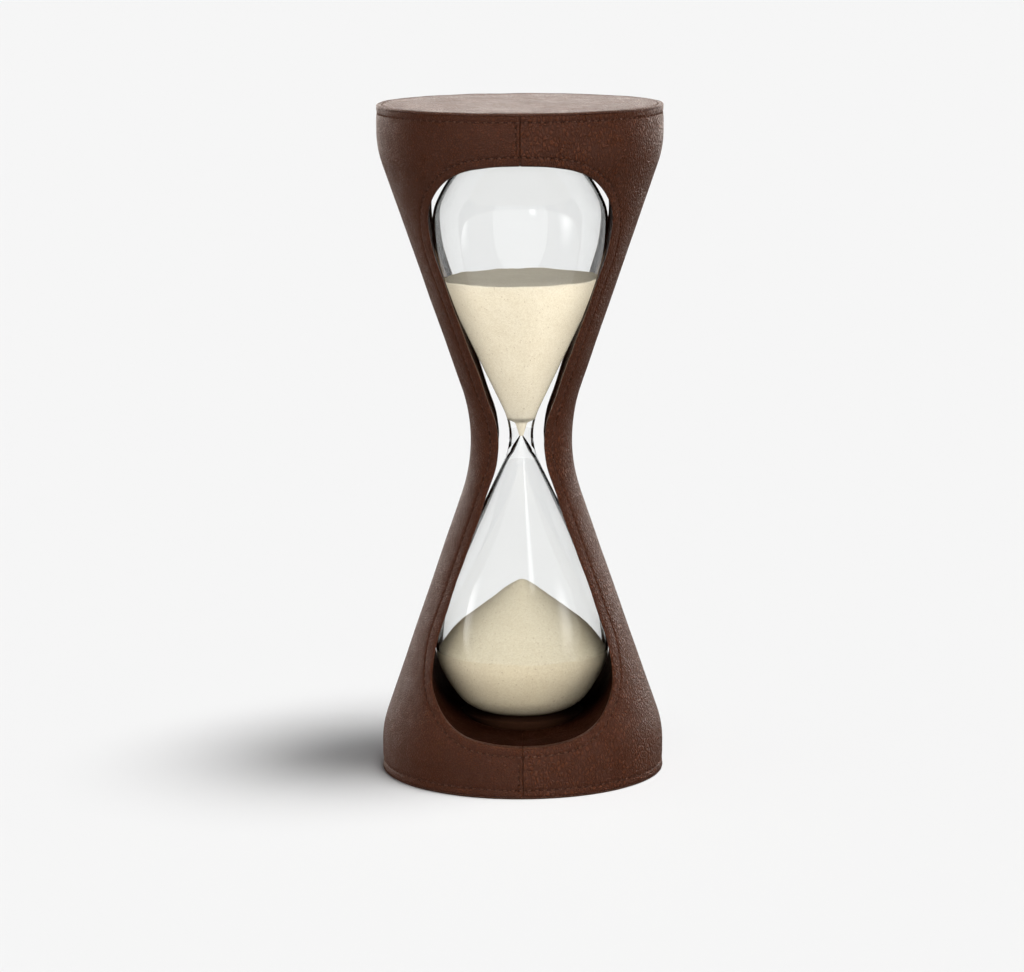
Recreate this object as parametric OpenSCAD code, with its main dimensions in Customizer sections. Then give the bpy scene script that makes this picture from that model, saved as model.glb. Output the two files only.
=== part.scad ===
// Hourglass: a glass sand timer held in a round, waisted frame that is covered in leather.
// Millimetres. The origin is the centre of the underside, +Z is up and the front faces -Y.
// Heights called "u" are measured from the waist, which is halfway up, and both halves are alike.

/* [Frame] */
// Diameter of the two round ends
frame_d = 110; // [108:0.5:112]
// Height of the whole hourglass
frame_h = 260; // [256:1:266]
// Diameter of the frame at its waist
waist_d = 39.4; // [38:0.2:40]
// Radius of the curve round the waist
waist_bend_r = 64.6; // [60:0.2:70]
// Slope of the frame's sides, from vertical
flare_angle = 18.97; // [18.8:0.01:19.2]
// Radius of the curve between the sloping side and the upright rim
shoulder_r = 38; // [30:1:42]

/* [Window] */
// Width of the window at the waist
window_waist_w = 17.4; // [17:0.1:18]
// Widest part of the window
window_belly_w = 69.2; // [69:0.1:69.6]
// Height of the widest part above the waist
window_belly_u = 88.3; // [88:0.1:89]
// Height of the window's end above the waist
window_end_u = 110.3; // [110:0.1:111]
// Radius of the curve round the window's waist
window_bend_r = 36.5; // [34:0.5:38]
// Slope of the window's sides, from vertical
window_angle = 19.44; // [19.4:0.01:19.5]
// Radius of the window's corners
window_corner_r = 21; // [20:0.1:21.4]

/* [Leather] */
// Thickness of every leather skin
leather_t = 1.2; // [1:0.1:1.4]
// Gap between the two halves of the sleeve where they meet
seam_gap = 0.3; // [0.2:0.1:0.6]

/* [Stitching] */
// Width of the sewing thread
thread_w = 0.7; // [0.5:0.1:0.9]
// Depth of the pressed line that the thread lies in
groove_depth = 0.4; // [0.3:0.05:0.5]
// Distance of the row on each end disc from the disc's edge
disc_row_inset = 2.2; // [2:0.1:3]
// Distance of the row on each rim from the top or the bottom
rim_row_inset = 3.4; // [3:0.1:4]
// Distance of the row round each window from the window's edge
window_row_inset = 3.4; // [3:0.1:3.8]
// Distance of the row beside each seam from the seam
seam_row_inset = 1.6; // [1.2:0.1:2.4]

/* [Glass] */
// Height of the middle of the glass above the middle of the frame
glass_up = 1.4; // [1:0.1:1.8]
// Outer diameter of the glass at its neck
neck_d = 9.3; // [9:0.1:9.6]
// Diameter of the hole that the sand runs through
orifice_d = 1; // [0.8:0.1:1.4]
// Outer diameter of each bulb
bulb_d = 67.6; // [67.4:0.1:67.8]
// Distance of each bulb's widest part from the middle of the glass
bulb_belly_w = 83.2; // [82.8:0.1:83.6]
// Distance of each bulb's flat end from the middle of the glass
bulb_end_w = 108.7; // [108.4:0.1:109]
// Slope of the bulbs' sides, from vertical
bulb_angle = 25.6; // [25.4:0.1:25.8]
// Gap round the bulbs where the frame is hollowed out for them
bulb_clearance = 0.6; // [0.5:0.1:0.8]
// Thickness of the glass
glass_wall = 0.9; // [0.8:0.1:1.2]

/* [Sand] */
// Height of the sand's surface in the upper bulb above the waist
sand_level_u = 63; // [20:1:72]
// Depth of the hollow in the upper surface
sand_dip = 1.2; // [0:0.1:3]
// Depth of the lower heap's tip below the waist
heap_tip_u = 55.7; // [50:0.1:60]
// Depth of the lower heap's edge, where it meets the glass, below the waist
heap_edge_u = 82; // [80:0.1:83]

/* [Inside] */
// Diameter of the round seat that holds each end of the glass
seat_d = 48.4; // [48:0.1:49]
// Depth of each seat below the end of the window
seat_depth = 3.3; // [3:0.1:4]
// Diameter of the filling hole and its stopper
filler_d = 6; // [5:0.5:8]
// Diameter of the dowels that join the halves of the core
dowel_d = 8; // [6:1:8]
// Length of the dowels
dowel_l = 36; // [30:2:40]

/* [Hidden] */

$fn = 96;
arc_steps = 8;      // straight pieces in each curve of an outline
far = 200;          // longer than anything here, for cutting
rim_r = frame_d / 2;
half_h = frame_h / 2;
waist_bend_x = waist_d / 2 + waist_bend_r;

// The upright rim begins at this height above the waist.
flare_x0 = waist_bend_x - waist_bend_r / cos(flare_angle);
rim_u = (rim_r - shoulder_r + shoulder_r / cos(flare_angle) - flare_x0) / tan(flare_angle);

// Window: the side's line, and the curves that touch it without a kink.
window_bend_x = window_waist_w / 2 + window_bend_r;
window_x0 = window_bend_x - window_bend_r / cos(window_angle);
window_belly_r = touching_r(window_x0, window_belly_w / 2, window_belly_u, window_angle);
window_corner_x = window_belly_w / 2 - window_corner_r;
window_rise = window_end_u - window_belly_u;
window_crown_r = (pow(window_corner_x, 2) + pow(window_rise, 2) - pow(window_corner_r, 2))
  / (2 * (window_rise - window_corner_r));
window_crown_a = atan2(window_end_u - window_crown_r - window_belly_u, -window_corner_x) + 180;

// Glass: heights called "w" are measured from the middle of the glass. Its side is a straight line.
glass_x0 = 1.9;
bulb_belly_r = touching_r(glass_x0, bulb_d / 2, bulb_belly_w, bulb_angle);
bulb_turn_r = 20;
bulb_turn_a = 25;
bulb_dome_r = 60;
bulb_dome_a = 36;
bulb_turn_x = bulb_d / 2 - bulb_turn_r;
bulb_dome_c = [
  bulb_turn_x + (bulb_turn_r - bulb_dome_r) * cos(bulb_turn_a),
  bulb_belly_w + (bulb_turn_r - bulb_dome_r) * sin(bulb_turn_a),
];
bulb_end_r = (bulb_end_w - bulb_dome_c[1] - bulb_dome_r * sin(bulb_dome_a)) / (1 - sin(bulb_dome_a));
bulb_end_c = bulb_dome_c + (bulb_dome_r - bulb_end_r) * [cos(bulb_dome_a), sin(bulb_dome_a)];

// Neck of the glass, outside: one hollow curve between the two sides.
neck_r = (neck_d / 2 - glass_x0) / (1 / cos(bulb_angle) - 1);

// Neck of the glass, inside: the orifice, a narrow throat, and a shelf that opens into the bulb.
orifice_bend_r = 1.2;
throat_a = 11;
throat_l = 4.7;
shelf_a = 60;
shelf_in_r = 1.5;
shelf_out_r = 3;

sand_gap = 0.1;     // between the sand and the glass
thread_gap = 0.05;  // between a thread and the walls of its groove
dowel_y = 34;       // distance of each dowel from the middle of the core
dowel_u = 120.5;    // height of the dowels above the waist
stopper_l = 5;
seat_u = window_end_u + seat_depth;

// The radius of a curve that is widest at [x, u] and runs smoothly into a side's line of slope a.
function touching_r(line_x0, x, u, a) = (line_x0 + tan(a) * u - x) * cos(a) / (1 - cos(a));

// Points along a curve, from angle a0 to angle a1 round centre c.
function arc(c, r, a0, a1) =
  [for (i = [0:arc_steps]) let (a = a0 + (a1 - a0) * i / arc_steps) c + r * [cos(a), sin(a)]];

// The same, without the first point, for a curve that carries on from another.
function arc_on(c, r, a0, a1) = let (p = arc(c, r, a0, a1)) [for (i = [1:len(p) - 1]) p[i]];

// A list of points turned end for end and mirrored below the waist, without its point at u = 0.
function below(p) = [for (i = [len(p) - 1:-1:1]) [p[i][0], -p[i][1]]];

// The whole right side of an outline, from its upper half.
function both(p) = concat(below(p), p);

// Outline of the frame's side above the waist, moved inwards by inset, up to height top.
function frame_side(inset, top) = concat(
  arc([waist_bend_x, 0], waist_bend_r + inset, 180, 180 - flare_angle),
  arc([rim_r - shoulder_r, rim_u], shoulder_r - inset, -flare_angle, 0),
  [[rim_r - inset, top]]
);

// A quarter of the window's outline, moved outwards by grow.
function window_quarter(grow) = concat(
  arc([window_bend_x, 0], window_bend_r - grow, 180, 180 - window_angle),
  arc([window_belly_w / 2 - window_belly_r, window_belly_u], window_belly_r + grow, -window_angle, 0),
  arc_on([window_corner_x, window_belly_u], window_corner_r + grow, 0, window_crown_a),
  arc_on([0, window_end_u - window_crown_r], window_crown_r + grow, window_crown_a, 90)
);

// The window's whole outline.
function window_outline(grow) =
  let (side = both(window_quarter(grow)))
  concat(side, [for (i = [len(side) - 2:-1:1]) [-side[i][0], side[i][1]]]);

// A bulb's side from the start of its belly to its flat end, moved inwards by inset.
function bulb_side(inset) = concat(
  arc([bulb_d / 2 - bulb_belly_r, bulb_belly_w], bulb_belly_r - inset, -bulb_angle, 0),
  arc_on([bulb_turn_x, bulb_belly_w], bulb_turn_r - inset, 0, bulb_turn_a),
  arc_on(bulb_dome_c, bulb_dome_r - inset, bulb_turn_a, bulb_dome_a),
  arc_on(bulb_end_c, bulb_end_r - inset, bulb_dome_a, 90),
  [[0, bulb_end_w - inset]]
);

// Outline of the outside of the glass above its middle, moved outwards by grow.
function glass_outside(grow) = concat(
  arc([neck_d / 2 + neck_r, 0], neck_r - grow, 180, 180 - bulb_angle),
  bulb_side(-grow)
);

// Outline of the throat inside the neck, moved inwards by inset.
function throat(inset) =
  let (
    x0 = glass_x0 - (glass_wall + inset) / cos(bulb_angle),
    bend_r = orifice_bend_r + inset,
    in_r = shelf_in_r + inset,
    out_r = shelf_out_r - inset,
    p = [orifice_d / 2 + orifice_bend_r - bend_r * cos(throat_a), bend_r * sin(throat_a)],
    in_c = p + throat_l * [sin(throat_a), cos(throat_a)] + in_r * [cos(throat_a), -sin(throat_a)],
    q = in_c + in_r * [-cos(shelf_a), sin(shelf_a)],
    rise = out_r * (sin(shelf_a) - sin(bulb_angle)),
    widen = out_r * (cos(bulb_angle) - cos(shelf_a)),
    l = (x0 + tan(bulb_angle) * (q[1] + rise) - q[0] - widen)
      / (sin(shelf_a) - tan(bulb_angle) * cos(shelf_a)),
    out_c = q + l * [sin(shelf_a), cos(shelf_a)] + out_r * [-cos(shelf_a), sin(shelf_a)]
  )
  concat(
    arc([orifice_d / 2 + orifice_bend_r, 0], bend_r, 180, 180 - throat_a),
    arc(in_c, in_r, 180 - throat_a, 180 - shelf_a),
    arc(out_c, out_r, -shelf_a, -bulb_angle)
  );

// Outline of the inside of the glass above its middle, moved further inwards by inset.
function glass_inside(inset) = concat(throat(inset), bulb_side(glass_wall + inset));

// Everything is drawn round the waist and then lifted to stand on its underside.
module lift() { translate([0, 0, half_h]) children(); }
module lift_glass() { translate([0, 0, half_h + glass_up]) children(); }

// A turned solid with the given right-hand side above the waist, and its mirror image below.
module turned(side) {
  top = side[len(side) - 1][1];
  rotate_extrude() polygon(concat([[0, -top]], both(side), [[0, top]]));
}

// The window as a bar from front to back, grown on every side.
module window_bar(grow) {
  rotate([90, 0, 0]) linear_extrude(far, center = true) polygon(window_outline(grow));
}

// What lies right (s = 1) or left (s = -1) of the middle, beyond gap.
module side_of(s, gap = 0) {
  translate([s > 0 ? gap : -far - gap, -far / 2, -far]) cube([far, far, 2 * far]);
}

// What lies in front of the middle.
module front_of() { translate([-far / 2, -far, -far]) cube([far, far, 2 * far]); }

// The round seats for the ends of the glass.
module seats() {
  cylinder_l = seat_u - window_belly_u;
  for (s = [-1, 1]) translate([0, 0, s * (seat_u - cylinder_l / 2)])
    cylinder(h = cylinder_l, d = seat_d, center = true);
}

// The room round the bulbs, which the frame is hollowed out to.
module bulb_room() { translate([0, 0, glass_up]) turned(glass_outside(bulb_clearance)); }

module dowels(d, l) {
  for (s = [-1, 1], y = [-dowel_y, dowel_y]) translate([0, y, s * dowel_u])
    rotate([0, 90, 0]) cylinder(h = l, d = d, center = true);
}

// A thin shell under the frame's outer surface, between two depths.
module shell(outer, inner) {
  difference() {
    turned(frame_side(outer, half_h - leather_t));
    turned(frame_side(inner, half_h));
  }
}

// A ring: the thread's own section, or its groove's if wide is more than the thread.
module rim_ring(wide, outer, inner) {
  for (s = [-1, 1]) translate([0, 0, s * (half_h - rim_row_inset)]) difference() {
    cylinder(h = wide, r = rim_r - outer, center = true);
    cylinder(h = far, r = rim_r - inner, center = true);
  }
}

// The row round the window, through the whole frame.
module window_row(wide) {
  difference() {
    window_bar(window_row_inset + wide / 2);
    window_bar(window_row_inset - wide / 2);
  }
}

// The rows beside the four seams, through the whole frame.
module seam_rows(wide) {
  low = window_end_u + window_row_inset + 2;
  high = half_h - rim_row_inset - 1.5;
  for (s = [-1, 1]) translate([-seam_row_inset, 0, s * (low + high) / 2])
    cube([wide, far, high - low], center = true);
}

// The pressed lines in the sleeve that the threads lie in.
module sleeve_grooves() {
  wide = thread_w + 2 * thread_gap;
  rim_ring(wide, -1, groove_depth);
  intersection() {
    shell(-1, groove_depth);
    union() {
      window_row(wide);
      seam_rows(wide);
    }
  }
}

module core(s) {
  color("#7a5c40") lift() intersection() {
    difference() {
      turned(frame_side(leather_t, half_h - leather_t));
      window_bar(leather_t);
      seats();
      bulb_room();
      dowels(dowel_d, dowel_l + 1);
    }
    side_of(s);
  }
}

module core_dowels() { color("#c9a877") lift() dowels(dowel_d, dowel_l); }

module sleeve(s) {
  color("#3d2318") lift() intersection() {
    difference() {
      shell(0, leather_t);
      window_bar(leather_t);
      sleeve_grooves();
    }
    side_of(s, seam_gap / 2);
  }
}

module lining(s) {
  color("#2e1a12") lift() intersection() {
    difference() {
      turned(frame_side(0, half_h - leather_t));
      difference() {
        translate([0, 0, -far]) cylinder(h = 2 * far, r = far);
        window_bar(leather_t);
      }
      window_bar(0);
      seats();
      bulb_room();
    }
    side_of(s);
  }
}

// One round end skin, with its outer edge rounded. It is drawn for the top.
module disc() {
  difference() {
    rotate_extrude() polygon(concat(
      [[0, half_h], [0, half_h - leather_t]],
      arc([rim_r - leather_t, half_h - leather_t], leather_t, 0, 90)
    ));
    disc_ring(thread_w + 2 * thread_gap, -1, groove_depth);
  }
}

module disc_ring(wide, outer, inner) {
  r = rim_r - disc_row_inset;
  translate([0, 0, half_h - inner]) difference() {
    cylinder(h = inner - outer, r = r + wide / 2);
    translate([0, 0, -far / 2]) cylinder(h = far, r = r - wide / 2);
  }
}

module top_disc() { color("#6b5147") lift() disc(); }
module bottom_disc() { color("#3d2318") lift() mirror([0, 0, 1]) disc(); }

module glass_bulb() {
  color("#dfe9ec", 0.35) lift_glass() difference() {
    turned(glass_outside(0));
    turned(glass_inside(0));
    translate([0, 0, -bulb_end_w - 1]) cylinder(h = glass_wall + 2, d = filler_d);
  }
}

module fill_stopper() {
  color("#b98d5c") lift_glass() translate([0, 0, -bulb_end_w])
    cylinder(h = stopper_l, d = filler_d - 2 * thread_gap);
}

// A round pad between an end of the glass, at height u, and the floor of its seat.
module seat_pad(u) {
  translate([0, 0, u]) cylinder(h = seat_u - u, d = seat_d - 0.4);
}

module upper_seat_pad() { color("#2b2b2b") lift() seat_pad(bulb_end_w + glass_up); }
module lower_seat_pad() {
  color("#2b2b2b") lift() mirror([0, 0, 1]) seat_pad(bulb_end_w - glass_up);
}

// The space inside one bulb, less the sand's gap. It is drawn for the upper bulb.
module bulb_space() { rotate_extrude() polygon(concat([[0, 0]], glass_inside(sand_gap))); }

module upper_sand() {
  level = sand_level_u - glass_up;
  color("#e8dabe") lift_glass() intersection() {
    bulb_space();
    rotate_extrude() polygon([[0, -1], [bulb_d, -1], [bulb_d, level], [bulb_d / 2, level], [0, level - sand_dip]]);
  }
}

module lower_sand() {
  tip = heap_tip_u + glass_up;
  slope = (heap_edge_u - heap_tip_u) / (bulb_d / 2 - glass_wall - sand_gap);
  color("#e8dabe") lift_glass() mirror([0, 0, 1]) difference() {
    intersection() {
      bulb_space();
      rotate_extrude() polygon([[0, tip], [bulb_d, tip + bulb_d * slope], [bulb_d, far], [0, far]]);
    }
    translate([0, 0, bulb_end_w - stopper_l - sand_gap]) cylinder(h = far, d = filler_d + 2 * sand_gap);
  }
}

module thread_top_disc() {
  color("#4a2d20") lift() disc_ring(thread_w, thread_gap, groove_depth);
}

module thread_bottom_disc() {
  color("#4a2d20") lift() mirror([0, 0, 1]) disc_ring(thread_w, thread_gap, groove_depth);
}

// The ring of thread round one rim: s = 1 for the top, -1 for the bottom.
module rim_thread(s) {
  color("#4a2d20") lift() intersection() {
    rim_ring(thread_w, thread_gap, groove_depth);
    translate([-far / 2, -far / 2, s > 0 ? 0 : -far]) cube(far);
  }
}

// The thread round one window: s = 1 for the front, -1 for the back.
module window_thread(s) {
  color("#4a2d20") lift() rotate([0, 0, s > 0 ? 0 : 180]) intersection() {
    shell(thread_gap, groove_depth);
    window_row(thread_w);
    front_of();
  }
}

module thread_seams() {
  color("#4a2d20") lift() intersection() {
    shell(thread_gap, groove_depth);
    seam_rows(thread_w);
  }
}

core(-1);  // core_left
core(1);  // core_right
core_dowels();
sleeve(-1);  // sleeve_left
sleeve(1);  // sleeve_right
lining(-1);  // lining_left
lining(1);  // lining_right
top_disc();
bottom_disc();
glass_bulb();
fill_stopper();
upper_seat_pad();
lower_seat_pad();
upper_sand();
lower_sand();
thread_top_disc();
thread_bottom_disc();
rim_thread(1);  // thread_sleeve_top
rim_thread(-1);  // thread_sleeve_bottom
window_thread(1);  // thread_window_front
window_thread(-1);  // thread_window_back
thread_seams();
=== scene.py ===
import math

import bmesh
import bpy
import numpy as np
from mathutils import Matrix, Vector, kdtree, noise

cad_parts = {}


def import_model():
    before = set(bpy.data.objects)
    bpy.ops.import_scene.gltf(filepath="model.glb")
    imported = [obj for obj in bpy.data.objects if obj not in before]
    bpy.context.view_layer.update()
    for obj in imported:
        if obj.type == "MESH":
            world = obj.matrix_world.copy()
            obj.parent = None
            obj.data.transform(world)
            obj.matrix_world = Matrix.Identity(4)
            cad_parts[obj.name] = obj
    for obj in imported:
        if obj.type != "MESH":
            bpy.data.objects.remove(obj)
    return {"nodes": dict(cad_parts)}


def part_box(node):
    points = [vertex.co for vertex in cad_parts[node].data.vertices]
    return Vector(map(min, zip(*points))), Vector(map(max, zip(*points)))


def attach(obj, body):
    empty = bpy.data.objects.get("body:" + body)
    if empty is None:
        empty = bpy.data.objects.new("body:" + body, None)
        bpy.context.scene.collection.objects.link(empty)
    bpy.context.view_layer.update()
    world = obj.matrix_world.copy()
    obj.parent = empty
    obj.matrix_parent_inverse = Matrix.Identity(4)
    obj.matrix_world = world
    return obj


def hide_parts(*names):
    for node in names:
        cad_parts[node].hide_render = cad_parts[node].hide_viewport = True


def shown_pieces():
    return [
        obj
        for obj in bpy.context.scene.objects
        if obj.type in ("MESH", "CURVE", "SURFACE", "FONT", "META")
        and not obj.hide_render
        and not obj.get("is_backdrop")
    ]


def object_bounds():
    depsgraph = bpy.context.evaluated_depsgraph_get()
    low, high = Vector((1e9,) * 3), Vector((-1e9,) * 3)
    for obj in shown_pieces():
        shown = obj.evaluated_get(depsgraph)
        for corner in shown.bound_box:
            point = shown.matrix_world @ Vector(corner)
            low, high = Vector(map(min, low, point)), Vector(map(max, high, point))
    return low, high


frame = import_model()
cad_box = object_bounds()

# Lengths are in millimetres until a mesh is made. Heights called "u" are measured from the
# waist, halfway up the hourglass, and both halves are alike. The front faces -Y.
MM = 0.001

# ---- sizes, from the frame ------------------------------------------------------------------
RIM_R = cad_box[1].x / MM
HALF_H = cad_box[1].z / MM / 2
BULB_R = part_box("glass_bulb")[1].x / MM
GLASS_UP = 1.4      # height of the middle of the glass above the middle of the frame
GLASS_END_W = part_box("glass_bulb")[1].z / MM - HALF_H - GLASS_UP
LEATHER_T = 2 * HALF_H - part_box("top_disc")[0].z / MM
DISC_FOOT_U = HALF_H - LEATHER_T
DISC_EDGE = 0.8     # the end discs are pared thinner at their edges, and the sleeve comes up to meet them
TOUCH = 0.02        # gap between pieces that touch
SLEEVE_TOP = HALF_H - DISC_EDGE - TOUCH
SEAT_GAP = 0.2      # gap between a felt pad and the wall of its seat
SEAT_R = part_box("upper_seat_pad")[1].x / MM + SEAT_GAP
SEAT_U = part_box("upper_seat_pad")[1].z / MM - HALF_H
STOPPER_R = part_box("fill_stopper")[1].x / MM
STOPPER_W = HALF_H + GLASS_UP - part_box("fill_stopper")[1].z / MM

# Frame: a hollow curve at the waist, a sloping side, a curve into the upright rim.
WAIST_R = 19.7
WAIST_BEND_R = 64.6
WAIST_BEND_X = WAIST_R + WAIST_BEND_R
FLARE = math.radians(18.97)
SHOULDER_R = 38.0
FLARE_X0 = WAIST_BEND_X - WAIST_BEND_R / math.cos(FLARE)
RIM_U = (RIM_R - SHOULDER_R + SHOULDER_R / math.cos(FLARE) - FLARE_X0) / math.tan(FLARE)

# Window: the same kind of side, then a round corner and a flat crown.
WINDOW_WAIST_X = 8.7
WINDOW_BELLY_X = 34.6
WINDOW_BELLY_U = 88.3
WINDOW_END_U = 110.3
WINDOW_BEND_R = 36.5
WINDOW_CORNER_R = 21.0
SIDE = math.radians(19.44)
WINDOW_BEND_X = WINDOW_WAIST_X + WINDOW_BEND_R
WINDOW_X0 = WINDOW_BEND_X - WINDOW_BEND_R / math.cos(SIDE)


def touching_r(line_x0, x, u, slope):
    """Radius of a curve that is widest at (x, u) and runs smoothly into a side's line."""
    return (line_x0 + math.tan(slope) * u - x) * math.cos(slope) / (1 - math.cos(slope))


WINDOW_BELLY_R = touching_r(WINDOW_X0, WINDOW_BELLY_X, WINDOW_BELLY_U, SIDE)
WINDOW_CORNER_X = WINDOW_BELLY_X - WINDOW_CORNER_R
WINDOW_RISE = WINDOW_END_U - WINDOW_BELLY_U
WINDOW_CROWN_R = (WINDOW_CORNER_X**2 + WINDOW_RISE**2 - WINDOW_CORNER_R**2) / (
    2 * (WINDOW_RISE - WINDOW_CORNER_R)
)
WINDOW_CROWN_U = WINDOW_END_U - WINDOW_CROWN_R
WINDOW_CROWN_A = math.atan2(WINDOW_CROWN_U - WINDOW_BELLY_U, -WINDOW_CORNER_X) + math.pi

# Glass: heights called "w" are measured from its own middle. A hollow neck, straight sides that
# open into the bulbs, and nearly flat ends. Inside the neck, a narrow throat opens at a shelf.
WALL = 0.9
NECK_HALF = 4.65
GLASS_X0 = 1.9
BULB_SIDE = math.radians(25.6)
NECK_R = (NECK_HALF - GLASS_X0) / (1 / math.cos(BULB_SIDE) - 1)
ORIFICE_R = 0.5
ORIFICE_BEND_R = 1.2
THROAT_A = math.radians(11)
THROAT_L = 4.7
SHELF_A = math.radians(60)
SHELF_IN_R = 1.5
SHELF_OUT_R = 3.0
# Under the orifice the blown glass opens evenly, without a shelf.
LOWER_THROAT = {"length": 0.4, "shelf_a": math.radians(34), "shelf_in_r": 8.0, "shelf_out_r": 30.0}
BELLY_W = 83.2
BELLY_R = touching_r(GLASS_X0, BULB_R, BELLY_W, BULB_SIDE)
TURN_R = 20.0
TURN_A = math.radians(25)
DOME_R = 60.0
DOME_A = math.radians(36)
DOME_X = BULB_R - TURN_R + (TURN_R - DOME_R) * math.cos(TURN_A)
DOME_W = BELLY_W + (TURN_R - DOME_R) * math.sin(TURN_A)
END_R = (GLASS_END_W - DOME_W - DOME_R * math.sin(DOME_A)) / (1 - math.sin(DOME_A))
END_X = DOME_X + (DOME_R - END_R) * math.cos(DOME_A)
END_W = DOME_W + (DOME_R - END_R) * math.sin(DOME_A)
ROOM = 0.6          # gap round the bulbs where the frame is hollowed out for them

# Sand: the upper surface, and the heap's tip, slope and rounding.
SAND_U = 63.0
SAND_DIP = 1.2
HEAP_TIP_U = -55.7
HEAP_SLOPE = math.tan(math.radians(37.4))
HEAP_ROUND = 2.4
HEAP_FOOT = 4.2     # how far the heap falls away below its slope, where it meets the glass
HEAP_FOOT_R = 22.0
SAND_GAP = -0.03    # the grains press against the glass
TRAVEL = 45.0       # how much sand is kept below each body, for when it moves up

# Leather work.
ROLL = 1.3          # size of the rolled edge round each window
FLAP = 3.5          # depth of the leather turned into the window
THIN_EDGE = 0.35    # thickness of the turned leather, as a share of the sleeve's
SEAM_HALF = 0.05    # half the gap where the sleeve's halves meet
SEAM_FADE = 6.0     # width over which the window's edge makes way for that gap
SEAM_ROUND = 0.45   # rounding of the leather's edge, at a seam and at a rim
RIM_ROUND = 0.55
GROOVE = 0.26       # depth and width of the groove that a thread lies in
GROOVE_W = 0.42
VALLEY = 0.14       # depth and width of the dip round the groove
VALLEY_W = 1.6
PIT = 0.26          # depth and width of each needle hole
PIT_W = 0.30
STITCH_PITCH = 3.06
STITCH_L = 1.75
STITCH_LEAN = 5     # degrees that a stitch is turned from its row, and how much that varies
STITCH_SPREAD = 3
STITCH_DIVE = 0.62  # how far the ends of a stitch dive into the leather, and how suddenly
STITCH_BEND = 3.4
THREAD_R = 0.23
WINDOW_ROW = 3.4    # distance of each row from the edge that it follows
RIM_ROW = 3.4
DISC_ROW = 2.2
SEAM_ROW = 1.6

# Camera.
CAMERA = Vector((0, -1.42525, 0.36234))
CAMERA_DOWN = math.radians(9.99)
CAMERA_YAW = math.radians(-0.149)
CAMERA_ROLL = math.radians(-0.294)
LENS = 130.7

# Light.
FLOOR_LEVEL = 0.921
FLOOR_ALBEDO = 0.80
THROUGH_GLASS = 1.02
AMBIENT = 0.07
SOFTBOX_LEVEL = 4.5
DARK_STUDIO = (0.13, 0.088, 0.062)     # what shiny surfaces see besides the softboxes


# ---- curves ---------------------------------------------------------------------------------
def arc(x, u, r, a0, a1, steps=24):
    """Points of an arc, from angle a0 to a1."""
    a = np.linspace(a0, a1, steps + 1)
    return np.stack([x + r * np.cos(a), u + r * np.sin(a)], 1)


def frame_r(u):
    """Radius of the frame's side at height u."""
    v = np.abs(np.asarray(u, float))
    bend = WAIST_BEND_X - np.sqrt(np.maximum(WAIST_BEND_R**2 - v**2, 1))
    flare = FLARE_X0 + math.tan(FLARE) * v
    drop = np.clip(v - RIM_U, -SHOULDER_R, 0)
    shoulder = RIM_R - SHOULDER_R + np.sqrt(SHOULDER_R**2 - drop**2)
    bend_end = WAIST_BEND_R * math.sin(FLARE)
    flare_end = RIM_U - SHOULDER_R * math.sin(FLARE)
    return np.where(v < bend_end, bend, np.where(v < flare_end, flare, shoulder))


def on_frame(x, u):
    """Points on the frame's front at (x, u), and the normals there."""
    r = frame_r(u)
    y = -np.sqrt(np.maximum(r**2 - x**2, 0))
    h = 0.01
    slope = (frame_r(u + h) - frame_r(u - h)) / (2 * h)
    n = np.stack([x / r, y / r, -slope], -1)
    n /= np.linalg.norm(n, axis=-1, keepdims=True)
    return np.stack([x, y, u], -1), n


def window_quarter():
    """A quarter of the window's outline, dense, as rows of x, u and the outward normal."""
    def piece(x, u, r, a0, a1, hollow=False):
        p = arc(x, u, r, a0, a1, 300)
        n = (p - (x, u)) / r
        return np.concatenate([p, -n if hollow else n], 1)

    return np.concatenate([
        piece(WINDOW_BEND_X, 0, WINDOW_BEND_R, math.pi, math.pi - SIDE, hollow=True),
        piece(WINDOW_BELLY_X - WINDOW_BELLY_R, WINDOW_BELLY_U, WINDOW_BELLY_R, -SIDE, 0),
        piece(WINDOW_CORNER_X, WINDOW_BELLY_U, WINDOW_CORNER_R, 0, WINDOW_CROWN_A),
        piece(0, WINDOW_CROWN_U, WINDOW_CROWN_R, WINDOW_CROWN_A, math.pi / 2),
    ])


def lengths(p):
    """Distance along a line of points, from its start to each point."""
    steps = np.linalg.norm(np.diff(p, axis=0), axis=1)
    return np.concatenate([[0], np.cumsum(steps)])


def resample(p, s):
    """The line of points p, and anything kept beside it, at the distances s along it."""
    at = lengths(p[:, :2])
    return np.stack([np.interp(s, at, p[:, i]) for i in range(p.shape[1])], 1)


WINDOW = window_quarter()
WINDOW_S = lengths(WINDOW[:, :2])[-1]


# ---- meshes ---------------------------------------------------------------------------------
def make(name, verts, faces, smooth=True):
    """A mesh object from points in millimetres measured from the waist."""
    mesh = bpy.data.meshes.new(name)
    v = np.asarray(verts, float) + (0, 0, HALF_H)
    mesh.from_pydata([tuple(p) for p in v * MM], [], faces)
    mesh.update()
    mesh.polygons.foreach_set("use_smooth", [smooth] * len(mesh.polygons))
    obj = bpy.data.objects.new(name, mesh)
    bpy.context.scene.collection.objects.link(obj)
    return obj


def grid_faces(rows, cols, wrap=False, start=0):
    """Quads of a grid of points that is stored row by row."""
    faces = []
    for i in range(rows if wrap else rows - 1):
        a = start + i * cols
        b = start + ((i + 1) % rows) * cols
        for j in range(cols - 1):
            faces.append((a + j, a + j + 1, b + j + 1, b + j))
    return faces


def turned(profile, segments):
    """The points of a turned surface, one profile after another."""
    p = np.asarray(profile, float)
    a = np.linspace(0, 2 * math.pi, segments, endpoint=False)
    return np.stack([
        np.outer(np.cos(a), p[:, 0]),
        np.outer(np.sin(a), p[:, 0]),
        np.broadcast_to(p[:, 1], (segments, len(p))),
    ], -1).reshape(-1, 3)


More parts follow.
